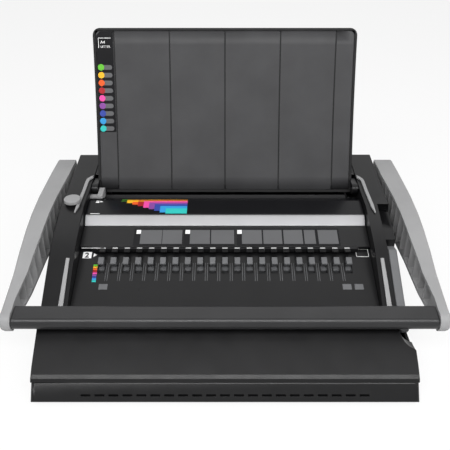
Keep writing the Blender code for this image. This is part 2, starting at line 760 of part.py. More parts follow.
def handle_arm(side):
    """Channel-shaped arm with ribs inside, open toward the case."""
    name = "right_arm" if side > 0 else "left_arm"
    front_round = arc((-0.1245, BODY_HEIGHT - 0.0490), 0.0113, 105, 235, 7)
    rear_round = arc((HANDLE_Y, HANDLE_Z), 0.026, 235, 360, 8)
    outline = arm_top() + front_round + arm_bottom() + rear_round
    inner = HALF_WIDTH + ARM_CLEAR
    arm = place(side_prism(name, outline, inner, ARM_OUTER, side), PALE)
    plan = [(HALF_WIDTH, 0.20), (inner - 0.0001, 0.20), (inner - 0.0001, 0.110),
            (inner + 0.005, -0.018), (inner + 0.0092, -0.070), (inner + 0.0138, -0.108),
            (inner + 0.0143, -0.150), (HALF_WIDTH, -0.150)]
    taper = prism(name + "_taper", [(side * x, y) for x, y in plan], 0.0, 0.2, axis="Z")
    carve(arm, taper)
    rib = 0.002
    stations = [0.098 - 0.0165 * index for index in range(13)]
    for start, end in zip(stations, stations[1:]):
        y0 = start - rib / 2
        y1 = end + rib / 2
        shape = []
        for y in (y0, y1):
            shape.append((y, along(arm_top(), y) - ARM_SKIN))
        for y in (y1, y0):
            shape.append((y, along(arm_bottom(), y) + ARM_SKIN))
        carve(arm, side_prism(name + "_pocket", shape, HALF_WIDTH, ARM_OUTER - ARM_SKIN, side))
    carve(arm, side_cylinder(name + "_bore", SHAFT_RADIUS + GAP, HALF_WIDTH, ARM_OUTER - 0.006,
                             HANDLE_AXIS, side))
    return arm


def grip_bar():
    """Bar across the front between the arms."""
    y0 = BAR_Y - BAR_DEEP / 2
    y1 = BAR_Y + BAR_DEEP / 2
    z0 = BAR_Z - BAR_TALL / 2
    z1 = BAR_Z + BAR_TALL / 2
    outline = arc((y0 + 0.008, z0 + 0.008), 0.008, 180, 270, 6)
    outline = outline + arc((y1 - 0.005, z0 + 0.005), 0.005, 270, 360, 4)
    outline = outline + arc((y1 - 0.003, z1 - 0.003), 0.003, 0, 75, 3)
    outline = outline + arc((y0 + 0.007, z1 - 0.0095), 0.007, 105, 180, 5)
    half = HALF_WIDTH + ARM_CLEAR + 0.0138 - GAP
    return place(prism("grip_bar", outline, -half, half), CHARCOAL)


def pivot_shaft():
    """Shaft that joins the arms and turns the cams."""
    end = ARM_OUTER - 0.006 - GAP
    return place(cylinder("pivot_shaft", SHAFT_RADIUS, -end, end, HANDLE_AXIS), STEEL)


def cam(side):
    """Cam whose reach falls evenly as the handle rises."""
    name = "right_cam" if side > 0 else "left_cam"
    near_v = (HANDLE_Y - THROAT_Y) * math.cos(LEAN) - (HANDLE_Z - THROAT_Z) * math.sin(LEAN)
    reach = near_v - PUNCH_BAR_V - PUNCH_BAR_DEEP - GAP
    rate = PUNCH_TRAVEL / HANDLE_SWING
    toward = math.pi - LEAN
    points = []
    steps = 14
    for step in range(steps + 1):
        turn = HANDLE_SWING * step / steps
        hold = reach - rate * turn
        along_x = hold * math.cos(turn) + rate * math.sin(turn)
        along_y = hold * math.sin(turn) - rate * math.cos(turn)
        points.append((along_x, along_y))
    hub = [(CAM_HUB * math.cos(a), CAM_HUB * math.sin(a))
           for a in [HANDLE_SWING + (math.radians(290) - HANDLE_SWING) * k / 14 for k in range(15)]]
    outline = []
    for a, b in points + hub:
        outline.append((HANDLE_Y + a * math.cos(toward) - b * math.sin(toward),
                        HANDLE_Z + a * math.sin(toward) + b * math.cos(toward)))
    body = place(side_prism(name, outline, CAM_X - CAM_WIDTH / 2, CAM_X + CAM_WIDTH / 2, side), STEEL)
    carve(body, side_cylinder("cam_bore", SHAFT_RADIUS + GAP, CAM_X - 0.01, CAM_X + 0.01,
                              HANDLE_AXIS, side))
    return body


# ---- lid

def lid_shell():
    """Outer shell of the lid with its rim and hinge ears."""
    whole = lid_band(0.0, LID_LENGTH, 0.0, LID_THICK)
    shell = place(prism("lid_shell", whole, -LID_HALF, LID_HALF), BLACK)
    rim = 0.0032
    inside = lid_band(rim, LID_LENGTH - rim, -0.02, LID_THICK - LID_SKIN)
    carve(shell, prism("lid_hollow", inside, -LID_HALF + rim, LID_HALF - rim))
    corner = LID_CORNER
    for side in (-1, 1):
        curve = arc((LID_HALF - corner, -corner), corner, 90, 0, 6)
        plan = [(LID_HALF - corner, 0.01)] + curve + [(LID_HALF + 0.01, -corner), (LID_HALF + 0.01, 0.01)]
        plan = [(side * x, y) for x, y in plan]
        cutter = prism("lid_corner", plan, -0.03, 0.05, axis="Z")
        y, z = lid_point(LID_LENGTH, 0.0)
        cutter.location = (0.0, y, z)
        cutter.rotation_euler = (math.pi / 2 - LEAN, 0.0, 0.0)
        carve(shell, cutter)
        ear = [lid_point(u, v) for u, v in ((0.0175, 0.0065), (0.0015, 0.0065))]
        centre_angle = math.degrees(math.atan2(-math.sin(LEAN), math.cos(LEAN)))
        round_end = arc(LID_AXIS, LID_EAR_RADIUS, centre_angle - 90, centre_angle - 270, 10)
        lug = side_prism("lid_ear", ear + round_end, LID_HALF - 0.002, FLANK_X - 0.0008, side)
        join(shell, lug)
        carve(shell, side_cylinder("ear_hole", LID_PIN_RADIUS + GAP, LID_HALF - 0.004,
                                   FLANK_X + 0.001, LID_AXIS, side, sides=24))
    return shell


def lid_panel():
    """Grooved panel set in the lid, which holds the paper up."""
    rim = 0.0032 + GAP
    shape = lid_band(rim, LID_LENGTH - rim, PANEL_RECESS, PANEL_RECESS + PANEL_THICK)
    panel = place(prism("lid_panel", shape, -LID_HALF + rim, LID_HALF - rim), CHARCOAL)
    cut = lid_band(-0.002, LID_LENGTH + 0.002, -0.002, PANEL_RECESS + 0.0008)
    grooves = row_of(prism("grooves", cut, -0.0006, 0.0006),
                     [GROOVE_PITCH * index for index in range(-2, 3)])
    carve(panel, grooves)
    corner = LID_CORNER - 0.0032
    for side in (-1, 1):
        edge = LID_HALF - rim
        curve = arc((edge - corner, -corner - rim), corner, 90, 0, 6)
        plan = [(edge - corner, 0.01)] + curve + [(edge + 0.01, -corner - rim), (edge + 0.01, 0.01)]
        cutter = prism("panel_corner", [(side * x, y) for x, y in plan], -0.03, 0.05, axis="Z")
        y, z = lid_point(LID_LENGTH, 0.0)
        cutter.location = (0.0, y, z)
        cutter.rotation_euler = (math.pi / 2 - LEAN, 0.0, 0.0)
        carve(panel, cutter)
    return panel


def lid_pin(side):
    """Hinge pin through an ear into the cheek."""
    name = "right_lid_pin" if side > 0 else "left_lid_pin"
    return place(side_cylinder(name, LID_PIN_RADIUS, LID_HALF - 0.0002, FLANK_X + WALL + 0.001,
                               LID_AXIS, side, sides=20), STEEL)


# ---- edge guide, tray and feet

def edge_guide():
    """Paper edge guide with the rack that the knob drives."""
    arm_y0, arm_y1 = GUIDE_ARM_Y
    z0, z1 = GUIDE_ARM_Z
    rack_y = KNOB_Y + PINION_RADIUS + 0.0006
    tail = -KNOB_X - GUIDE_TRAVEL
    plan = [(-0.1560, arm_y0), (-0.1560, arm_y1), (tail, arm_y1), (tail, rack_y),
            (-KNOB_X + 0.0025, rack_y), (-KNOB_X + 0.0025, arm_y0)]
    guide = place(prism("edge_guide", plan, z0, z1, axis="Z"), PALE)
    fin = [(arm_y0 + 0.0005, z0 + 0.0001), (LEAD_Y + 0.0006, LEAD_Z + 0.0006),
           (LEAD_Y + 0.0060, LEAD_Z + 0.0006), (LEAD_Y + 0.0085, z1 + 0.0010),
           (LEAD_Y + 0.0050, z1 + 0.0030), (arm_y0 + 0.0005, z1 + 0.0012)]
    join(guide, prism("guide_fin", fin, -0.1620, -0.1555))
    return guide


def guide_knob():
    """Dial on the left cheek that shifts the edge guide."""
    low = top_z(KNOB_Y + KNOB_RADIUS) + GAP + TRIM_THICK + 0.0006
    knob = place(cylinder("guide_knob", KNOB_RADIUS, low, low + 0.0045, (-KNOB_X, KNOB_Y),
                          axis="Z", sides=40), PALE)
    stem = cylinder("knob_stem", 0.0028, GUIDE_ARM_Z[0] - 0.002, low + 0.001, (-KNOB_X, KNOB_Y),
                    axis="Z", sides=24)
    join(knob, stem)
    return knob


def knob_pinion():
    """Small gear on the knob's stem."""
    teeth = 12
    outline = []
    for index in range(teeth):
        for share, radius in ((0.0, -0.0009), (0.25, -0.0009), (0.5, 0.0), (0.75, 0.0)):
            angle = 2 * math.pi * (index + share) / teeth
            reach = PINION_RADIUS + radius
            outline.append((-KNOB_X + reach * math.cos(angle), KNOB_Y + reach * math.sin(angle)))
    z0 = GUIDE_ARM_Z[0]
    gear = place(prism("knob_pinion", outline, z0, z0 + 0.0025, axis="Z"), CHARCOAL)
    carve(gear, cylinder("pinion_bore", 0.0028 + GAP, z0 - 0.01, z0 + 0.01, (-KNOB_X, KNOB_Y),
                         axis="Z", sides=24))
    return gear


def chip_tray():
    """Drawer under the dies for the punched chips."""
    floor = FLOOR_Z + WALL + GAP
    tray = span_box("chip_tray", (-HALF_WIDTH + 0.0002, TRAY_END_X), (TRAY_FRONT_Y, TRAY_REAR_Y),
                    (floor, TRAY_TOP))
    place(tray, CHARCOAL)
    wall = 0.002
    carve(tray, span_box("tray_hollow", (-HALF_WIDTH + wall + 0.001, TRAY_END_X - wall),
                         (TRAY_FRONT_Y + wall, TRAY_REAR_Y - wall), (floor + wall, TRAY_TOP + 0.01)))
    grip_y = (TRAY_FRONT_Y + TRAY_REAR_Y) / 2
    grip = cylinder("tray_grip", 0.012, -HALF_WIDTH - 0.002, -HALF_WIDTH + 0.0016,
                    (grip_y, TRAY_TOP - 0.011), sides=24)
    carve(tray, grip)
    return tray


def foot(index, side, y):
    """Round rubber foot under the pan."""
    return place(cylinder("foot_%d" % index, FOOT_RADIUS, 0.0, FLOOR_Z - GAP,
                          (side * (HALF_WIDTH - FOOT_INSET), y), axis="Z", sides=32), RUBBER)


def pivot_cap(side):
    """Cap over the end of the pivot shaft, set in the arm's outer face."""
    name = "right_pivot_cap" if side > 0 else "left_pivot_cap"
    return place(side_cylinder(name, 0.013, ARM_OUTER + GAP, ARM_OUTER + 0.0015, HANDLE_AXIS, side),
                 CHARCOAL)


# ---- joint axes

def hang(name, place_at, children):
    """Empty on a joint's axis that carries the pieces which move with it."""
    axis = bpy.data.objects.new(name, None)
    axis.location = place_at
    PARTS.objects.link(axis)
    bpy.context.view_layer.update()
    for child in children:
        child.parent = axis
        child.matrix_parent_inverse = axis.matrix_world.inverted()


def build():
    """Build every piece and hang the moving ones on their axes."""
    base_pan()
    front_cover()
    rear_cover()
    housing_top()
    silver_bar()
    instruction_panel()
    comb_deck()
    finger_plate()
    die_plate(True)
    die_plate(False)
    paper_stop()
    for side, word in ((-1, "left"), (1, "right")):
        side_cover(side)
        side_frame(side)
        shaft_bush(side)
        guide_rod(side)
        lid_pin(side)
        trim(side, 0.021, 0.118, word + "_rear_trim", True)
        trim(side, -0.104, -0.043, word + "_front_trim", False)
    feet = [(side, y) for side in (-1, 1) for y in (BODY_FRONT + 0.030, BODY_REAR - 0.025)]
    for index, (side, y) in enumerate(feet):
        foot(index + 1, side, y)

    handle = [grip_bar(), pivot_shaft()]
    handle = handle + [make(side) for make in (handle_arm, cam, pivot_cap) for side in (-1, 1)]
    hang("handle_axis", (0.0, *HANDLE_AXIS), handle)
    hang("punch_axis", (0.0, *lid_point(PIN_U, PUNCH_BAR_V)), [punch_bar()])
    hang("lid_axis", (0.0, *LID_AXIS), [lid_shell(), lid_panel()])
    hang("lever_axis", (0.0, *LEVER_AXIS), [comb_lever(), lever_shaft(), crank(-1), crank(1)])
    hang("rake_axis", (0.0, *deck_point(HOOK_S, 0.0)), [comb_rake()])
    hang("knob_axis", (-KNOB_X, KNOB_Y, top_z(KNOB_Y)), [guide_knob(), knob_pinion()])
    hang("guide_axis", (-0.156, GUIDE_ARM_Y[0], GUIDE_ARM_Z[0]), [edge_guide()])
    hang("tray_axis", (0.0, TRAY_FRONT_Y, FLOOR_Z), [chip_tray()])


build()
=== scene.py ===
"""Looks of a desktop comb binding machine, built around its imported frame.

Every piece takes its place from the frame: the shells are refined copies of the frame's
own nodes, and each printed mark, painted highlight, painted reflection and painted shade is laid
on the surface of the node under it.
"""

import json
import logging
import math
from collections.abc import Callable, Sequence
from dataclasses import dataclass, field
from enum import Enum

import bmesh
import bpy
from mathutils import Matrix, Vector
from mathutils.bvhtree import BVHTree


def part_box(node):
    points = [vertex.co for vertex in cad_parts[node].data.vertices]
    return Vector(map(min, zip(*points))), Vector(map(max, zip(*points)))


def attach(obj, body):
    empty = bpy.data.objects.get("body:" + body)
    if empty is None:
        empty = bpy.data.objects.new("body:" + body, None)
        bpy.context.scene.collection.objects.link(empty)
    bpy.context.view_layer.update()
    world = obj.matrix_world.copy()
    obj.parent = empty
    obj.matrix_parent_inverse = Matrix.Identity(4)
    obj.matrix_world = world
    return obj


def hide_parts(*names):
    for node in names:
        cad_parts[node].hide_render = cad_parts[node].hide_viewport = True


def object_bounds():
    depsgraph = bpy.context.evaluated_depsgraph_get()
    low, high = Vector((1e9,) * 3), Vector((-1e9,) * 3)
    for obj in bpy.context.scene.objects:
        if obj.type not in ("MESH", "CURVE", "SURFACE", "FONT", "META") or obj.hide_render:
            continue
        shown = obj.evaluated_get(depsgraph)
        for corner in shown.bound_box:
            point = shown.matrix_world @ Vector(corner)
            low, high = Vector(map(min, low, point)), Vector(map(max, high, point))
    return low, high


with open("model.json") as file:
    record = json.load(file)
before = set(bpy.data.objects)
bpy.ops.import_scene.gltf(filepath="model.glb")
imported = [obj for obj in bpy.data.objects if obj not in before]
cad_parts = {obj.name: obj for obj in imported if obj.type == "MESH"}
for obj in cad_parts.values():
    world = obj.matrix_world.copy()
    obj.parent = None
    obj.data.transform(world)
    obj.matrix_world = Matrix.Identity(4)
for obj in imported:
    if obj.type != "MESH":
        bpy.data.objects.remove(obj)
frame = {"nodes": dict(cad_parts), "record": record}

CAD_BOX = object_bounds()
LOG = logging.getLogger("comb_binder")
CORNER_ANGLE = 50.0
FLANK_REACH = 0.0005
SKIN_REACH = 0.02
COMB_PITCH = 0.0142875
COMB_RINGS = 21
ACROSS = Vector((1.0, 0.0, 0.0))

Point = tuple[float, float]
EdgeTest = Callable[[bmesh.types.BMEdge], bool]


class Side(Enum):
    """The two sides of the machine."""

    LEFT = -1
    RIGHT = 1

    def node(self, name: str) -> str:
        """Name of a node on this side."""
        return ("left_" if self is Side.LEFT else "right_") + name


# ---- finishes


@dataclass(frozen=True)
class Finish:
    """Moulded or painted surface with fine grain, slight mottling and soft wear.

    Attributes:
        name: Name of the material.
        tone: Linear colour of the surface.
        rough: Middle roughness.
        metal: Metallic value.
        grain: Size of the moulded grain in metres.
        depth: Height of the grain in metres.
        mottle: Share by which the colour wanders.
        brushed: Stretch of the grain along X, for brushed metal.
        coat: Clear coat weight.
        edge: Radius of the softened edges seen by the light.
        shine: Specular level.
    """

    name: str
    tone: tuple[float, float, float]
    rough: float = 0.45
    metal: float = 0.0
    grain: float = 0.0009
    depth: float = 0.00003
    mottle: float = 0.12
    brushed: float = 1.0
    coat: float = 0.0
    edge: float = 0.0005
    shine: float = 0.5

    def make(self) -> bpy.types.Material:
        """Build the material, or find it if it was built before."""
        found = bpy.data.materials.get(self.name)
        if found is not None:
            return found
        material = bpy.data.materials.new(self.name)
        material.use_nodes = True
        tree = material.node_tree
        shader = tree.nodes["Principled BSDF"]
        shader.inputs["Metallic"].default_value = self.metal
        shader.inputs["Coat Weight"].default_value = self.coat
        shader.inputs["Specular IOR Level"].default_value = self.shine
        shader.inputs["Coat Roughness"].default_value = 0.12
        place = tree.nodes.new("ShaderNodeTexCoord")
        stretch = tree.nodes.new("ShaderNodeMapping")
        stretch.inputs["Scale"].default_value = (1.0 / self.brushed, 1.0, 1.0)
        tree.links.new(place.outputs["Object"], stretch.inputs["Vector"])
        self._colour(tree, shader, stretch)
        self._roughness(tree, shader, stretch)
        self._relief(tree, shader, stretch)
        return material

    def _noise(self, tree: bpy.types.NodeTree, source: bpy.types.Node, scale: float,
               detail: float) -> bpy.types.Node:
        """Noise texture read in the machine's own metres.

        Args:
            tree: Node tree of the material.
            source: Node that gives the place.
            scale: Waves per metre.
            detail: Layers of finer noise.

        Returns:
            The noise node.
        """
        noise = tree.nodes.new("ShaderNodeTexNoise")
        noise.inputs["Scale"].default_value = scale
        noise.inputs["Detail"].default_value = detail
        tree.links.new(source.outputs["Vector"], noise.inputs["Vector"])
        return noise

    def _colour(self, tree: bpy.types.NodeTree, shader: bpy.types.Node,
                source: bpy.types.Node) -> None:
        """Let the colour wander a little between two close tones.

        Args:
            tree: Node tree of the material.
            shader: Its shader.
            source: Node that gives the place.
        """
        noise = self._noise(tree, source, 26.0, 5.0)
        ramp = tree.nodes.new("ShaderNodeValToRGB")
        low, high = ramp.color_ramp.elements
        low.position = 0.3
        high.position = 0.7
        low.color = (*[c * (1.0 - self.mottle) for c in self.tone], 1.0)
        high.color = (*[min(1.0, c * (1.0 + self.mottle)) for c in self.tone], 1.0)
        tree.links.new(noise.outputs["Fac"], ramp.inputs["Fac"])
        tree.links.new(ramp.outputs["Color"], shader.inputs["Base Color"])

    def _roughness(self, tree: bpy.types.NodeTree, shader: bpy.types.Node,
                   source: bpy.types.Node) -> None:
        """Smooth patches where hands have polished the surface.

        Args:
            tree: Node tree of the material.
            shader: Its shader.
            source: Node that gives the place.
        """
        noise = self._noise(tree, source, 55.0, 4.0)
        span = tree.nodes.new("ShaderNodeMapRange")
        span.inputs["To Min"].default_value = self.rough - 0.06
        span.inputs["To Max"].default_value = self.rough + 0.08
        tree.links.new(noise.outputs["Fac"], span.inputs["Value"])
        tree.links.new(span.outputs["Result"], shader.inputs["Roughness"])

    def _relief(self, tree: bpy.types.NodeTree, shader: bpy.types.Node,
                source: bpy.types.Node) -> None:
        """Moulded grain over slightly rounded edges.

        Args:
            tree: Node tree of the material.
            shader: Its shader.
            source: Node that gives the place.
        """
        noise = self._noise(tree, source, 1.0 / self.grain, 3.0)
        edge = tree.nodes.new("ShaderNodeBevel")
        edge.samples = 4
        edge.inputs["Radius"].default_value = self.edge
        bump = tree.nodes.new("ShaderNodeBump")
        bump.inputs["Strength"].default_value = 1.0
        bump.inputs["Distance"].default_value = self.depth
        tree.links.new(noise.outputs["Fac"], bump.inputs["Height"])
        tree.links.new(edge.outputs["Normal"], bump.inputs["Normal"])
        tree.links.new(bump.outputs["Normal"], shader.inputs["Normal"])


CASE = Finish("case_black", (0.0065, 0.0065, 0.007), rough=0.30, shine=0.20)
GLOSS = Finish("gloss_black", (0.006, 0.006, 0.007), rough=0.22, depth=0.000008, shine=0.16)
LID_GREY = Finish("lid_charcoal", (0.042, 0.042, 0.044), rough=0.44, shine=0.2)
GRIP = Finish("grip_charcoal", (0.019, 0.019, 0.020), rough=0.30, shine=0.28)
PALE = Finish("pale_grey", (0.270, 0.270, 0.273), rough=0.55, depth=0.00004, mottle=0.05)
HOOK = Finish("hook_grey", (0.095, 0.097, 0.102), rough=0.45, mottle=0.10)
PADDLE = Finish("paddle_grey", (0.115, 0.117, 0.122), rough=0.45, mottle=0.10)
SILVER = Finish("silver_paint", (0.34, 0.34, 0.35), rough=0.36, metal=0.15, mottle=0.04, shine=0.3)
DARK_STEEL = Finish("dark_steel", (0.020, 0.020, 0.021), rough=0.45, metal=0.6, brushed=10.0,
                    mottle=0.10)
STEEL = Finish("plain_steel", (0.50, 0.50, 0.52), rough=0.30, metal=1.0, brushed=14.0, mottle=0.06)
RUBBER = Finish("foot_rubber", (0.016, 0.016, 0.016), rough=0.85, depth=0.00006)
LABEL_BLACK = Finish("label_black", (0.005, 0.005, 0.006), rough=0.30, depth=0.000004, shine=0.12)
TILE = Finish("label_tile", (0.100, 0.101, 0.105), rough=0.45, depth=0.000004, mottle=0.06,
              shine=0.2)
INK_WHITE = Finish("ink_white", (0.84, 0.84, 0.84), rough=0.50, depth=0.000004, mottle=0.03)

COMB_COLOURS = {
    "green": (0.12, 0.46, 0.035),
    "yellow": (0.80, 0.43, 0.020),
    "orange": (0.74, 0.10, 0.018),
    "red": (0.34, 0.014, 0.020),
    "pink": (0.74, 0.070, 0.33),
    "purple": (0.22, 0.060, 0.29),
    "indigo": (0.035, 0.060, 0.31),
    "sky": (0.035, 0.29, 0.62),
    "turquoise": (0.030, 0.49, 0.45),
}


def ink(word: str) -> Finish:
    """Printed colour of the comb size scale."""
    return Finish("ink_" + word, COMB_COLOURS[word], rough=0.42, depth=0.000004, mottle=0.04,
                  shine=0.2)


# ---- pieces made from the frame


def link(obj: bpy.types.Object) -> bpy.types.Object:
    """Put an object in the scene.

    Args:
        obj: The new object.

    Returns:
        The same object.
    """
    bpy.context.scene.collection.objects.link(obj)
    return obj


def dress(obj: bpy.types.Object, finish: Finish) -> bpy.types.Object:
    """Give an object one finish.

    Args:
        obj: The object to dress.
        finish: Its finish.

    Returns:
        The same object.
    """
    obj.data.materials.clear()
    obj.data.materials.append(finish.make())
    return obj


def joint(name: str) -> dict:
    """One joint of the frame's record."""
    return next(one for one in frame["record"]["behaviour"]["joints"] if one["name"] == name)


def body_of(node: str) -> str:
    """Name of the body that carries a node."""
    bodies = frame["record"]["behaviour"]["bodies"]
    return next(name for name, nodes in bodies.items() if node in nodes)


def copy_mesh(node: str) -> bmesh.types.BMesh:
    """Copy a node's mesh and merge its flat triangles back into whole faces.

    Args:
        node: Name of the node in the frame.

    Returns:
        The copy.
    """
    shell = bmesh.new()
    shell.from_mesh(frame["nodes"][node].data)
    bmesh.ops.remove_doubles(shell, verts=shell.verts, dist=2e-6)
    bmesh.ops.dissolve_limit(shell, angle_limit=math.radians(0.25), verts=shell.verts,
                             edges=shell.edges)
    return shell


def sharp(edge: bmesh.types.BMEdge, least: float = 35.0) -> bool:
    """Whether an edge is an outer corner that a mould would round.

    Args:
        edge: Edge of a node's mesh.
        least: Smallest turn in degrees between its faces.

    Returns:
        True for an outer corner.
    """
    if len(edge.link_faces) != 2:
        return False
    return edge.is_convex and edge.calc_face_angle() > math.radians(least)


def long_sharp(least: float, length: float) -> EdgeTest:
    """Make a test for long outer corners.

    Args:
        least: Smallest turn in degrees between the faces.
        length: Smallest length of the edge.

    Returns:
        The test.
    """
    def test(edge: bmesh.types.BMEdge) -> bool:
        """Whether the edge is a long outer corner."""
        return sharp(edge, least) and edge.calc_length() > length

    return test


def flank_corner(reach: float, front: float = math.inf) -> EdgeTest:
    """Make a test for outer corners at the two ends of a piece.

    Args:
        reach: Distance of the ends from the machine's middle.
        front: Depth behind which no edge is taken.

    Returns:
        The test.
    """
    def test(edge: bmesh.types.BMEdge) -> bool:
        """Whether the edge is an outer corner at an end."""
        near = min(abs(vertex.co.x) for vertex in edge.verts)
        ahead = max(vertex.co.y for vertex in edge.verts)
        return sharp(edge, CORNER_ANGLE) and near > reach - FLANK_REACH and ahead < front

    return test


def refine(node: str, finish: Finish, rounding: Sequence[tuple[float, int, EdgeTest]] = (),
           smooth: float = 32.0) -> bpy.types.Object:
    """Stand a refined copy in for a node of the frame.

    Args:
        node: Name of the node in the frame.
        finish: Finish of the piece.
        rounding: Width, steps and edge test of each set of rounded edges.
        smooth: Largest angle in degrees that is shaded smooth.

    Returns:
        The new object, which rides on the node's body.
    """
    shell = copy_mesh(node)
    for width, steps, test in rounding:
        edges = [edge for edge in shell.edges if test(edge)]
        if edges:
            bmesh.ops.bevel(shell, geom=edges, offset=width, segments=steps, profile=0.5,
                            affect="EDGES", clamp_overlap=True)
    mesh = bpy.data.meshes.new(node + "_made")
    shell.to_mesh(mesh)
    shell.free()
    mesh.shade_smooth()
    mesh.set_sharp_from_angle(angle=math.radians(smooth))
    piece = link(bpy.data.objects.new(node + "_made", mesh))
    flatten = piece.modifiers.new("flat_faces", "WEIGHTED_NORMAL")
    flatten.keep_sharp = True
    dress(piece, finish)
    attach(piece, body_of(node))
    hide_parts(node)
    LOG.info("refined %s", node)
    return piece


@dataclass
class Skin:
    """A node's surface, on which printed marks and painted highlights, reflections and shade are
    laid.

    Attributes:
        node: Name of the node in the frame.
        origin: Point from which the marks are measured, first across the machine.
        upward: Direction of the marks' second measure.
        tree: Search tree of the surface.
        normal: Direction out of the surface.
    """

    node: str
    origin: Vector
    upward: Vector
    tree: BVHTree = field(init=False)
    normal: Vector = field(init=False)

    def __post_init__(self) -> None:
        """Prepare the surface for finding its points."""
        shell = bmesh.new()
        shell.from_mesh(frame["nodes"][self.node].data)
        self.tree = BVHTree.FromBMesh(shell)
        shell.free()
        self.normal = ACROSS.cross(self.upward).normalized()

    def at(self, a: float, b: float, lift: float) -> Vector:
        """Point over the surface.

        Args:
            a: Distance across.
            b: Distance upward.
            lift: Height over the surface.

        Returns:
            The point in the machine's frame.
        """
        flat = self.origin + ACROSS * a + self.upward * b
        hit = self.tree.ray_cast(flat + self.normal * SKIN_REACH, -self.normal, 2 * SKIN_REACH)[0]
        if hit is None:
            hit = flat
        return hit + self.normal * lift


def level_skin(node: str) -> Skin:
    """Skin of a level surface, measured from the machine's middle."""
    return Skin(node, Vector((0.0, 0.0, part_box(node)[1].z)), Vector((0.0, 1.0, 0.0)))


def slope_skin(node: str) -> Skin:
    """Skin of a plate that slopes down to the front, measured from its lower edge.

    Args:
        node: Name of the node in the frame.

    Returns:
        The skin.
    """
    low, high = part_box(node)
    rise = Vector((0.0, high.y - low.y, high.z - low.z))
    return Skin(node, Vector((0.0, low.y, low.z)), rise.normalized())


def lay(name: str, skin: Skin, outlines: Sequence[Sequence[Point]], finish: Finish,
        height: float = 0.00012, lift: float = 0.00003,
        step: float = 0.006) -> bpy.types.Object:
    """Lay thin shapes on a surface: print, painted highlights, painted reflections and painted
    shade.

    Args:
        name: Name of the piece.
        skin: Surface under it.
        outlines: Closed outlines in the surface's own measures.
        finish: Finish of the print or painted light.
        height: Thickness of the laid shapes.
        lift: Gap under it.
        step: Longest stretch of print that stays straight on a bowed surface.

    Returns:
        The new object.
    """
    shell = bmesh.new()
    for outline in outlines:
        shell.faces.new([shell.verts.new((a, b, 0.0)) for a, b in outline])
    low = min(b for outline in outlines for _, b in outline)
    high = max(b for outline in outlines for _, b in outline)
    cuts = int((high - low) / step)
    for index in range(1, cuts + 1):
        b = low + (high - low) * index / (cuts + 1)
        bmesh.ops.bisect_plane(shell, geom=[*shell.verts, *shell.edges, *shell.faces],
                               plane_co=(0.0, b, 0.0), plane_no=(0.0, 1.0, 0.0))
    top = bmesh.ops.extrude_face_region(shell, geom=list(shell.faces))["geom"]
    raised = {item for item in top if isinstance(item, bmesh.types.BMVert)}
    for vertex in shell.verts:
        a, b, _ = vertex.co
        vertex.co = skin.at(a, b, lift + (height if vertex in raised else 0.0))
    bmesh.ops.recalc_face_normals(shell, faces=shell.faces)
    mesh = bpy.data.meshes.new(name)
    shell.to_mesh(mesh)
    shell.free()
    piece = link(bpy.data.objects.new(name, mesh))
    dress(piece, finish)
    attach(piece, body_of(skin.node))
    LOG.info("laid %s", name)
    return piece


def write(name: str, skin: Skin, text: str, corner: Point, height: float, finish: Finish,
          weight: float = 0.02, lift: float = 0.00011) -> bpy.types.Object:
    """Print a short everyday word or number on a surface.

    Args:
        name: Name of the piece.
        skin: Surface under it.
        text: The word or number.
        corner: Left end of its base line.
        height: Height of the letters.
        finish: Finish of the print.
        weight: Thickening of the strokes, as a share of the height.
        lift: Height of the letters' middle over the surface.

    Returns:
        The new object.
    """
    data = bpy.data.curves.new(name, "FONT")
    data.body = text
    data.size = height * 1.38
    data.extrude = 0.00006
    data.offset = height * weight
    data.resolution_u = 3
    drawn = link(bpy.data.objects.new(name + "_drawn", data))
    graph = bpy.context.evaluated_depsgraph_get()
    mesh = bpy.data.meshes.new_from_object(drawn.evaluated_get(graph))
    bpy.data.objects.remove(drawn, do_unlink=True)
    for vertex in mesh.vertices:
        a, b, depth = vertex.co
        vertex.co = skin.at(corner[0] + a, corner[1] + b, lift + depth)
    mesh.name = name
    piece = link(bpy.data.objects.new(name, mesh))
    dress(piece, finish)
    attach(piece, body_of(skin.node))
    LOG.info("wrote %s", name)
    return piece


def oblong(a: float, b: float, wide: float, tall: float) -> list[Point]:
    """Rectangle about a middle point."""
    return [(a - wide / 2, b - tall / 2), (a + wide / 2, b - tall / 2),
            (a + wide / 2, b + tall / 2), (a - wide / 2, b + tall / 2)]


def disc(a: float, b: float, radius: float, steps: int = 28) -> list[Point]:
    """Circle about a middle point."""
    turns = [2 * math.pi * step / steps for step in range(steps)]
    return [(a + radius * math.cos(turn), b + radius * math.sin(turn)) for turn in turns]


def capsule(left: float, right: float, b: float, radius: float, steps: int = 8) -> list[Point]:
    """Long pill shape between two ends.

    Args:
        left: Left end.
        right: Right end.
        b: Height of its middle line.
        radius: Radius of the ends.
        steps: Straight stretches in each end.

    Returns:
        The outline.
    """
    points = []
    for centre, start in ((right - radius, -90.0), (left + radius, 90.0)):
        for step in range(steps + 1):
            turn = math.radians(start + 180.0 * step / steps)
            points.append((centre + radius * math.cos(turn), b + radius * math.sin(turn)))
    return points


def pointer(tip: float, b: float, long: float, half: float) -> list[Point]:
    """Arrow head that points to the right."""
    return [(tip - long, b - half), (tip, b), (tip - long, b + half)]


# ---- sub-assemblies


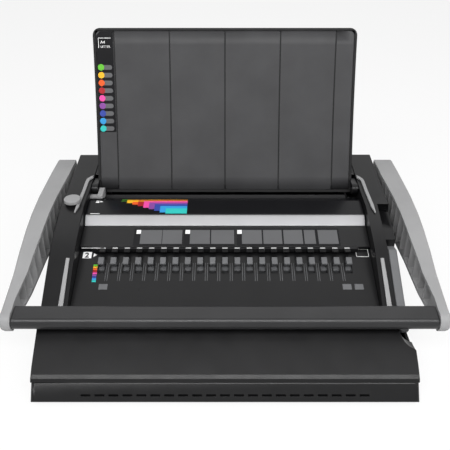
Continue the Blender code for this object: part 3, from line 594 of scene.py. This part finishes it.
@dataclass
class Case:
    """Pan, covers, trims and feet.

    Attributes:
        lip: Rounding of the covers' outer edges.
        nose: Rounding of the front cover's edges.
        brow: Rounding of the long bends at its nose.
        brow_angle: Smallest turn in degrees of such a bend.
        corner: Rounding of the case's front corners.
        front: Depth behind which the corners stay tight.
        long_edge: Shortest edge that is rounded.
        trim_edge: Rounding of the light trims.
        foot_edge: Rounding of the feet.
    """

    lip: float = 0.0012
    nose: float = 0.0015
    brow: float = 0.0030
    brow_angle: float = 4.0
    corner: float = 0.0050
    front: float = -0.150
    long_edge: float = 0.012
    trim_edge: float = 0.0004
    foot_edge: float = 0.0008

    def build(self) -> None:
        """Make and dress the case."""
        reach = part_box("front_cover")[1].x
        outer = long_sharp(CORNER_ANGLE, self.long_edge)
        corner = flank_corner(reach, self.front)
        bend = long_sharp(self.brow_angle, reach)

        def brow(edge: bmesh.types.BMEdge) -> bool:
            """Whether the edge is a long bend at the nose."""
            return bend(edge) and max(vertex.co.y for vertex in edge.verts) < self.front

        refine("base_pan", CASE, [(self.corner, 6, corner), (self.lip, 3, outer)])
        refine("front_cover", CASE, [(self.corner, 6, corner), (self.nose, 4, outer),
                                     (self.brow, 6, brow)])
        refine("rear_cover", CASE, [(self.lip, 3, outer)])
        for side in Side:
            refine(side.node("side_cover"), CASE, [(self.lip, 3, outer)])
            for trim in ("rear_trim", "front_trim"):
                refine(side.node(trim), PALE, [(self.trim_edge, 2, outer)])
        for index in range(1, 5):
            refine("foot_%d" % index, RUBBER, [(self.foot_edge, 3, sharp)])


@dataclass
class Punch:
    """Housing top, panel, throat and the working parts inside.

    Attributes:
        lip: Rounding of the housing's edges.
        lip_angle: Smallest turn in degrees of a rounded edge.
        long_edge: Shortest edge that is rounded.
    """

    lip: float = 0.0006
    lip_angle: float = 30.0
    long_edge: float = 0.02

    def build(self) -> None:
        """Make and dress the punch."""
        rounding = [(self.lip, 3, long_sharp(self.lip_angle, self.long_edge))]
        refine("housing_top", GLOSS, rounding)
        refine("instruction_panel", CASE, rounding)
        refine("silver_bar", SILVER, rounding)
        for node in ("front_die_plate", "rear_die_plate"):
            refine(node, DARK_STEEL)
        refine("punch_bar", STEEL)
        refine("paper_stop", CASE)
        for side in Side:
            for node in ("side_frame", "guide_rod", "lid_pin"):
                refine(side.node(node), STEEL)
            refine(side.node("shaft_bush"), PALE)


@dataclass
class CombRack:
    """Deck, fingers, hooks and the lever that opens the comb.

    Attributes:
        hook_edge: Rounding of the hooks.
        finger_edge: Rounding of the fingers.
        finger_length: Shortest edge of a finger that is rounded.
        paddle_edge: Rounding of the lever's paddle.
    """

    hook_edge: float = 0.0005
    finger_edge: float = 0.0003
    finger_length: float = 0.004
    paddle_edge: float = 0.0016

    def build(self) -> None:
        """Make and dress the comb rack."""
        fingers = long_sharp(CORNER_ANGLE, self.finger_length)
        refine("comb_deck", CASE)
        refine("finger_plate", CASE, [(self.finger_edge, 2, fingers)])
        refine("comb_rake", HOOK, [(self.hook_edge, 3, sharp)])
        refine("comb_lever", PADDLE, [(self.paddle_edge, 4, sharp)])
        refine("lever_shaft", STEEL)
        for side in Side:
            refine(side.node("crank"), STEEL)


@dataclass
class Handle:
    """Arms, grip bar, pivot shaft and cams.

    Attributes:
        arm_edge: Rounding of the arms' outer edges.
        grip_edge: Rounding of the bar's long edges.
        cap_edge: Rounding of the pivot caps.
    """

    arm_edge: float = 0.0030
    grip_edge: float = 0.0020
    cap_edge: float = 0.0004

    def build(self) -> None:
        """Make and dress the handle."""
        rim = flank_corner(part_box("right_arm")[1].x)
        for side in Side:
            refine(side.node("arm"), PALE, [(self.arm_edge, 5, rim)])
            refine(side.node("cam"), STEEL)
            refine(side.node("pivot_cap"), GRIP, [(self.cap_edge, 2, sharp)])
        refine("grip_bar", GRIP, [(self.grip_edge, 5, sharp)])
        refine("pivot_shaft", STEEL)


@dataclass
class Lid:
    """Lid shell and its grooved panel.

    Attributes:
        edge: Rounding of the shell's edges.
        edge_length: Shortest edge that is rounded.
    """

    edge: float = 0.0010
    edge_length: float = 0.002

    def build(self) -> None:
        """Make and dress the lid."""
        refine("lid_shell", CASE, [(self.edge, 3, long_sharp(CORNER_ANGLE, self.edge_length))])
        refine("lid_panel", LID_GREY)


@dataclass
class Controls:
    """Knob, edge guide and chip tray.

    Attributes:
        knob_edge: Rounding of the knob.
        guide_edge: Rounding of the edge guide.
        tray_edge: Rounding of the tray.
    """

    knob_edge: float = 0.0008
    guide_edge: float = 0.0003
    tray_edge: float = 0.0005

    def build(self) -> None:
        """Make and dress the controls."""
        refine("guide_knob", PALE, [(self.knob_edge, 3, sharp)])
        refine("knob_pinion", HOOK)
        refine("edge_guide", PALE, [(self.guide_edge, 2, sharp)])
        refine("chip_tray", GRIP, [(self.tray_edge, 2, sharp)])


# ---- printed marks, painted highlights, painted reflections and painted shade


@dataclass
class LidMarks:
    """Comb size scale, paper size mark and shaded grooves on the lid's panel.

    Attributes:
        hinge_drop: Start of the marks' measure below the lid's hinge.
        hinge_back: Start of the marks' measure behind the lid's hinge.
        groove_pitch: Distance between the grooves.
        groove_wide: Width of a groove's floor.
        groove_span: Lower and upper end of the grooves.
        strip_across: Left and right side of the dark strip.
        strip_span: Lower and upper end of the dark strip.
        strip_cut: Cut corner of the strip, across and down.
        dot_x: Place of the dots.
        dot_radius: Radius of a dot.
        dot_pitch: Distance between the dots.
        first_dot: Height of the lowest dot.
        plate_right: Right end of the plates beside the dots.
        plate_radius: Radius of the plates' ends.
        line: Thickness of the corner line.
        corner_rail: Middle of the corner line's level part.
        corner_post: Middle of its upright part.
        corner_size: Width and height of the corner line.
        words_left: Left end of the paper size words.
    """

    hinge_drop: float = 0.0060
    hinge_back: float = 0.0099
    groove_pitch: float = 0.0695
    groove_wide: float = 0.0017
    groove_span: Point = (0.0105, 0.2005)
    strip_across: Point = (-0.1612, -0.1403)
    strip_span: Point = (0.0775, 0.2015)
    strip_cut: Point = (0.0052, 0.0050)
    dot_x: float = -0.1567
    dot_radius: float = 0.0040
    dot_pitch: float = 0.00955
    first_dot: float = 0.0819
    plate_right: float = -0.1426
    plate_radius: float = 0.0029
    line: float = 0.0007
    corner_rail: Point = (-0.1508, 0.1937)
    corner_post: Point = (-0.1584, 0.1878)
    corner_size: Point = (0.0158, 0.0125)
    words_left: float = -0.1560

    def build(self) -> None:
        """Lay the lid's marks."""
        back = Vector(joint("punch_slide")["axis"])
        up = ACROSS.cross(back)
        hinge = Vector(joint("lid_hinge")["pos_m"])
        lid = Skin("lid_panel", hinge - up * self.hinge_drop + back * self.hinge_back, up)
        self._grooves(lid)
        self._size_scale(lid)
        self._paper_mark(lid)

    def _grooves(self, lid: Skin) -> None:
        """Shaded floors of the long grooves.

        Args:
            lid: Surface of the lid's panel.
        """
        low, high = self.groove_span
        lines = [oblong(index * self.groove_pitch, (low + high) / 2, self.groove_wide, high - low)
                 for index in range(-2, 3)]
        lay("groove_shade", lid, lines, CASE, height=0.00006, lift=0.00002)

    def _size_scale(self, lid: Skin) -> None:
        """Dark strip with a coloured dot and a bare plate for each comb size.

        Args:
            lid: Surface of the lid's panel.
        """
        left, right = self.strip_across
        low, high = self.strip_span
        strip = [(left, low), (right, low), (right, high), (left + self.strip_cut[0], high),
                 (left, high - self.strip_cut[1])]
        lay("scale_strip", lid, [strip], LABEL_BLACK, height=0.0001)
        for index, word in enumerate(reversed(COMB_COLOURS)):
            b = self.first_dot + index * self.dot_pitch
            plate = capsule(self.dot_x - 0.001, self.plate_right, b, self.plate_radius)
            lay("size_plate_%d" % (index + 1), lid, [plate], TILE, lift=0.00016)
            lay("size_dot_" + word, lid, [disc(self.dot_x, b, self.dot_radius)], ink(word),
                lift=0.0003)

    def _paper_mark(self, lid: Skin) -> None:
        """Paper size words with their corner line.

        Args:
            lid: Surface of the lid's panel.
        """
        wide, tall = self.corner_size
        corner = [oblong(*self.corner_rail, wide, self.line),
                  oblong(*self.corner_post, self.line, tall)]
        lay("paper_corner", lid, corner, INK_WHITE, lift=0.00016)
        write("paper_size_a4", lid, "A4", (self.words_left, 0.1872), 0.0036, INK_WHITE)
        write("paper_size_letter", lid, "LETTER", (self.words_left, 0.1822), 0.0026, INK_WHITE)


@dataclass
class ThroatMarks:
    """Colour chart and paper marks on the housing's top.

    Attributes:
        left: Left end of the chart's longest bar.
        right: Right end of the chart.
        step: How much shorter each next bar is.
        rear: Rear edge of the longest bar.
        rear_bend: Growth of the rear edge's retreat from bar to bar.
        front: Front edge of the longest bar.
        front_step: How much further forward each next bar reaches.
        front_limit: Front edge of the chart.
        layer: Rise of each bar over the one before.
        paper_box: Middle of the paper box beside the throat.
        arrow_tip: Tip of its arrow.
        paper_line: Middle of the short line in front of it.
    """

    left: float = -0.1299
    right: float = -0.0468
    step: float = 0.0071
    rear: float = 0.0618
    rear_bend: float = 0.00031
    front: float = 0.0565
    front_step: float = 0.0032
    front_limit: float = 0.0317
    layer: float = 0.00006
    paper_box: Point = (-0.1595, 0.0563)
    arrow_tip: float = -0.1525
    paper_line: Point = (-0.1590, 0.0322)

    def build(self) -> None:
        """Lay the chart and the paper marks."""
        top = level_skin("housing_top")
        for index, word in enumerate(COMB_COLOURS):
            left = self.left + index * self.step
            rear = self.rear - self.rear_bend * index ** 2
            front = max(self.front_limit, self.front - self.front_step * index)
            bar = [(left, front), (self.right, front), (self.right, rear), (left, rear)]
            lay("chart_bar_" + word, top, [bar], ink(word), height=0.00008,
                lift=0.00003 + index * self.layer)
        arrow = pointer(self.arrow_tip, self.paper_box[1], 0.0040, 0.0015)
        lay("throat_arrow", top, [oblong(*self.paper_box, 0.0042, 0.0050), arrow], INK_WHITE)
        lay("throat_line", top, [oblong(*self.paper_line, 0.0115, 0.0011)], INK_WHITE)


@dataclass(frozen=True)
class PlateGroup:
    """Bare label plates on one dark backing.

    Attributes:
        back: Left and right side of the backing.
        step: Left side of the small white box.
        plates: Left and right side of each plate.
    """

    back: Point
    step: float
    plates: tuple[Point, ...]


@dataclass
class PanelMarks:
    """Bare label plates on the sloping panel.

    Attributes:
        low: Lower side of the plates.
        high: Upper side of the plates.
        border: Height of the backing beyond the plates.
        step_box: Width and height of a white box.
        over_back: Lift of the plates over the panel.
        groups: The three groups of plates.
    """

    low: float = 0.0045
    high: float = 0.0260
    border: float = 0.005
    step_box: Point = (0.0056, 0.0060)
    over_back: float = 0.00018
    groups: tuple[PlateGroup, ...] = (
        PlateGroup((-0.1087, -0.0502), -0.1060, ((-0.1009, -0.0752), (-0.0746, -0.0510))),
        PlateGroup((-0.0494, 0.0115), -0.0475, ((-0.0418, -0.0179), (-0.0165, 0.0109))),
        PlateGroup((0.0140, 0.1365), 0.0146, ((0.0201, 0.0439), (0.0456, 0.0679), (0.0698, 0.0925),
                                              (0.0944, 0.1077), (0.1111, 0.1345))))

    def build(self) -> None:
        """Lay the plates."""
        panel = slope_skin("instruction_panel")
        tall = self.high - self.low
        backs = [self._bar(group.back, tall + self.border) for group in self.groups]
        lay("label_back", panel, backs, LABEL_BLACK)
        plates = [plate for group in self.groups for plate in group.plates]
        for index, plate in enumerate(plates):
            lay("label_plate_%d" % (index + 1), panel, [self._bar(plate, tall)], TILE,
                lift=self.over_back)
        wide, high = self.step_box
        steps = [oblong(group.step + wide / 2, self.high - high / 2, wide, high)
                 for group in self.groups]
        lay("label_steps", panel, steps, INK_WHITE, lift=self.over_back)

    def _bar(self, sides: Point, tall: float) -> list[Point]:
        """Rectangle between two sides, about the plates' middle line."""
        return oblong(sum(sides) / 2, (self.low + self.high) / 2, sides[1] - sides[0], tall)


@dataclass
class CombMarks:
    """Marks on the fingers and the comb deck: print, painted highlights and painted reflections.

    Attributes:
        dash_b: Depth of the painted highlights on the fingers' tops.
        dash: Width and height of one finger's painted highlight.
        line: Thickness of the frame at the right end.
        frame_across: Left and right side of that frame.
        frame_span: Distance of its sides from the deck's rear end.
        number_back: Distance of the number's middle from the deck's rear end.
        number_x: Middle of the number's box.
        arrow_tip: Tip of the arrow beside it.
        stack_x: Middle of the first colour of the stack.
        stack_lean: Sideways step from colour to colour.
        stack_back: Distance of the first colour from the deck's rear end.
        stack_pitch: Distance between the colours.
        rim_shift: Distance of a painted rim highlight from the middle between two slots.
        rim_back: Distance of the painted rim highlights' middle from the deck's rear end.
        glint_back: Distance of the painted glint under each hook from the deck's rear end.
        reflection_back: Distance of the painted reflections from the deck's rear end.
        reflection_xs: Places of the painted reflections.
    """

    dash_b: float = -0.0160
    dash: Point = (0.0062, 0.0013)
    line: float = 0.0007
    frame_across: Point = (0.1545, 0.1688)
    frame_span: Point = (0.0120, 0.0012)
    number_back: float = 0.0097
    number_x: float = -0.1618
    arrow_tip: float = -0.1507
    stack_x: float = -0.1501
    stack_lean: float = 0.0001
    stack_back: float = 0.0245
    stack_pitch: float = 0.00275
    rim_shift: float = 0.0012
    rim_back: float = 0.0335
    glint_back: float = 0.0203
    reflection_back: float = 0.0540
    reflection_xs: tuple[float, ...] = (-0.1378, 0.1379, 0.1515)

    def build(self) -> None:
        """Lay the marks of the comb row."""
        low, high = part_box("comb_deck")
        end = math.hypot(high.y - low.y, high.z - low.z)
        deck = slope_skin("comb_deck")
        self._finger_highlights()
        self._frame(deck, end)
        self._number(deck, end - self.number_back)
        self._stack(deck, end - self.stack_back)
        self._slots(deck, end)
        # Painted reflections: grey squares where the deck mirrors the light.
        painted_reflections = [oblong(a, end - self.reflection_back, 0.0100, 0.0075) for a in self.reflection_xs]
        lay("deck_painted_reflections", deck, painted_reflections, HOOK)

    def _finger_highlights(self) -> None:
        """Painted highlight along the top of each finger, and a longer painted highlight at the
        left end.
        """
        middle = (COMB_RINGS - 1) / 2
        # Painted highlights: white strips where light catches the fingers' tops, and a longer one
        # at the left end.
        highlights = [oblong((index - middle) * COMB_PITCH, self.dash_b, *self.dash)
                  for index in range(COMB_RINGS)]
        highlights.append(oblong(-0.1546, self.dash_b, 0.0270, 0.0009))
        lay("finger_top_highlights", level_skin("finger_plate"), highlights, INK_WHITE)

    def _frame(self, deck: Skin, end: float) -> None:
        """Thin frame at the right end of the row.

        Args:
            deck: Surface of the comb deck.
            end: Rear end of the deck.
        """
        left, right = self.frame_across
        near, far = [end - back for back in self.frame_span]
        rails = [oblong((left + right) / 2, b, right - left, self.line) for b in (near, far)]
        posts = [oblong(a, (near + far) / 2, self.line, far - near) for a in (left, right)]
        lay("end_frame", deck, rails + posts, INK_WHITE)

    def _number(self, deck: Skin, b: float) -> None:
        """Number in a white box, with an arrow to the first hook.

        Args:
            deck: Surface of the comb deck.
            b: Height of its middle on the deck.
        """
        lay("step_box", deck, [oblong(self.number_x, b, 0.0104, 0.0092)], INK_WHITE)
        corner = (self.number_x - 0.0026, b - 0.0035)
        write("step_number", deck, "2", corner, 0.0070, LABEL_BLACK, weight=0.05)
        lay("step_arrow", deck, [pointer(self.arrow_tip, b, 0.0037, 0.0028)], INK_WHITE)

    def _stack(self, deck: Skin, first: float) -> None:
        """Stack of the comb colours beside the first hook.

        Args:
            deck: Surface of the comb deck.
            first: Height of the first colour on the deck.
        """
        for index, word in enumerate(COMB_COLOURS):
            a = self.stack_x + self.stack_lean * index
            bar = oblong(a, first - index * self.stack_pitch, 0.0048, 0.0023)
            lay("stack_" + word, deck, [bar], ink(word))

    def _slots(self, deck: Skin, end: float) -> None:
        """Painted highlight lines on the rim between each two slots, and a painted glint under
        each hook.

        Args:
            deck: Surface of the comb deck.
            end: Rear end of the deck.
        """
        middle = (COMB_RINGS - 1) / 2
        # Painted highlights: light grey lines along the rim edges on each side of the middle
        # between two slots.
        rim_highlights = [oblong((index + 0.5 - middle) * COMB_PITCH + shift, end - self.rim_back,
                       0.0006, 0.0250)
                for index in range(COMB_RINGS - 1) for shift in (-self.rim_shift, self.rim_shift)]
        lay("slot_rim_highlights", deck, rim_highlights, HOOK, height=0.00006)
        # Painted highlights: a light grey glint laid under each hook.
        glints = [oblong((index - middle) * COMB_PITCH, end - self.glint_back, 0.0018, 0.0042)
                  for index in range(COMB_RINGS)]
        lay("slot_glints", deck, glints, TILE, height=0.00006)


# ---- studio


@dataclass(frozen=True)
class Lamp:
    """Rectangular lamp that looks at the machine.

    Attributes:
        name: Name of the lamp.
        at: Its place.
        wide: Its width.
        deep: Its depth.
        power: Its power in watts.
    """

    name: str
    at: tuple[float, float, float]
    wide: float
    deep: float
    power: float


LAMPS = (Lamp("top_lamp", (0.0, 0.55, 1.25), 1.4, 0.8, 3.5),
         Lamp("strip_lamp", (0.0, -0.86, 1.05), 1.6, 0.24, 18.0),
         Lamp("left_lamp", (-1.2, -0.3, 0.9), 0.9, 0.9, 3.2),
         Lamp("right_lamp", (1.2, -0.3, 0.9), 0.9, 0.9, 5.6))


@dataclass
class Studio:
    """Floor, lamps, white surroundings and the camera.

    Attributes:
        eye: Place of the camera.
        tilt: Angle below level at which it looks.
        lens: Focal length on a 36 mm sensor.
    """

    eye: Vector = field(default_factory=lambda: Vector((0.0, -0.5907, 0.4931)))
    tilt: float = math.radians(33.0)
    lens: float = 48.0

    def build(self) -> None:
        """Set up the studio."""
        self._floor()
        self._lamps()
        self._world()
        self._camera()

    def _floor(self) -> None:
        """White floor that keeps the object's shadow."""
        shell = bmesh.new()
        bmesh.ops.create_grid(shell, x_segments=8, y_segments=8, size=4.0)
        mesh = bpy.data.meshes.new("floor")
        shell.to_mesh(mesh)
        shell.free()
        floor = link(bpy.data.objects.new("floor", mesh))
        floor.location.z = CAD_BOX[0][2]
        material = bpy.data.materials.new("floor_white")
        material.use_nodes = True
        tree = material.node_tree
        shader = tree.nodes["Principled BSDF"]
        shader.inputs["Base Color"].default_value = (0.9, 0.9, 0.9, 1.0)
        shader.inputs["Roughness"].default_value = 0.9
        glow = tree.nodes.new("ShaderNodeEmission")
        path = tree.nodes.new("ShaderNodeLightPath")
        either = tree.nodes.new("ShaderNodeMath")
        either.operation = "MAXIMUM"
        blend = tree.nodes.new("ShaderNodeMixShader")
        share = tree.nodes.new("ShaderNodeMath")
        share.operation = "MULTIPLY"
        share.inputs[1].default_value = 0.85
        tree.links.new(path.outputs["Is Camera Ray"], either.inputs[0])
        tree.links.new(path.outputs["Is Glossy Ray"], either.inputs[1])
        tree.links.new(either.outputs["Value"], share.inputs[0])
        tree.links.new(share.outputs["Value"], blend.inputs["Fac"])
        tree.links.new(shader.outputs["BSDF"], blend.inputs[1])
        tree.links.new(glow.outputs["Emission"], blend.inputs[2])
        tree.links.new(blend.outputs["Shader"], tree.nodes["Material Output"].inputs["Surface"])
        floor.data.materials.append(material)

    def _lamps(self) -> None:
        """Soft lamps over and beside the machine, with one long strip in front of it."""
        target = Vector((0.0, 0.0, 0.08))
        for one in LAMPS:
            data = bpy.data.lights.new(one.name, "AREA")
            data.shape = "RECTANGLE"
            data.size = one.wide
            data.size_y = one.deep
            data.energy = one.power
            lamp = link(bpy.data.objects.new(one.name, data))
            lamp.location = one.at
            turn = (target - Vector(one.at)).to_track_quat("-Z", "Y")
            lamp.rotation_euler = turn.to_euler()

    def _world(self) -> None:
        """Even pale light, white where the camera looks past the object."""
        world = bpy.data.worlds.new("studio")
        bpy.context.scene.world = world
        world.use_nodes = True
        tree = world.node_tree
        back = tree.nodes["Background"]
        back.inputs["Color"].default_value = (1.0, 1.0, 1.0, 1.0)
        path = tree.nodes.new("ShaderNodeLightPath")
        first = tree.nodes.new("ShaderNodeMath")
        first.operation = "MAXIMUM"
        second = tree.nodes.new("ShaderNodeMath")
        second.operation = "MAXIMUM"
        span = tree.nodes.new("ShaderNodeMapRange")
        span.inputs["To Min"].default_value = 0.25
        span.inputs["To Max"].default_value = 1.0
        tree.links.new(path.outputs["Is Camera Ray"], first.inputs[0])
        tree.links.new(path.outputs["Is Glossy Ray"], first.inputs[1])
        tree.links.new(first.outputs["Value"], second.inputs[0])
        tree.links.new(path.outputs["Is Transmission Ray"], second.inputs[1])
        tree.links.new(second.outputs["Value"], span.inputs["Value"])
        tree.links.new(span.outputs["Result"], back.inputs["Strength"])

    def _camera(self) -> None:
        """Camera above the front of the machine."""
        data = bpy.data.cameras.new("camera")
        data.lens = self.lens
        data.sensor_width = 36.0
        camera = link(bpy.data.objects.new("camera", data))
        camera.location = self.eye
        camera.rotation_euler = (math.pi / 2 - self.tilt, 0.0, 0.0)
        bpy.context.scene.camera = camera
        bpy.context.scene.view_settings.view_transform = "Standard"


def main() -> None:
    """Build the studio and every sub-assembly."""
    logging.basicConfig(level=logging.INFO)
    Studio().build()
    for assembly in (Case(), Punch(), CombRack(), Handle(), Lid(), Controls(), LidMarks(),
                     ThroatMarks(), PanelMarks(), CombMarks()):
        assembly.build()
        LOG.info("finished %s", type(assembly).__name__)


if __name__ == "__main__":
    main()
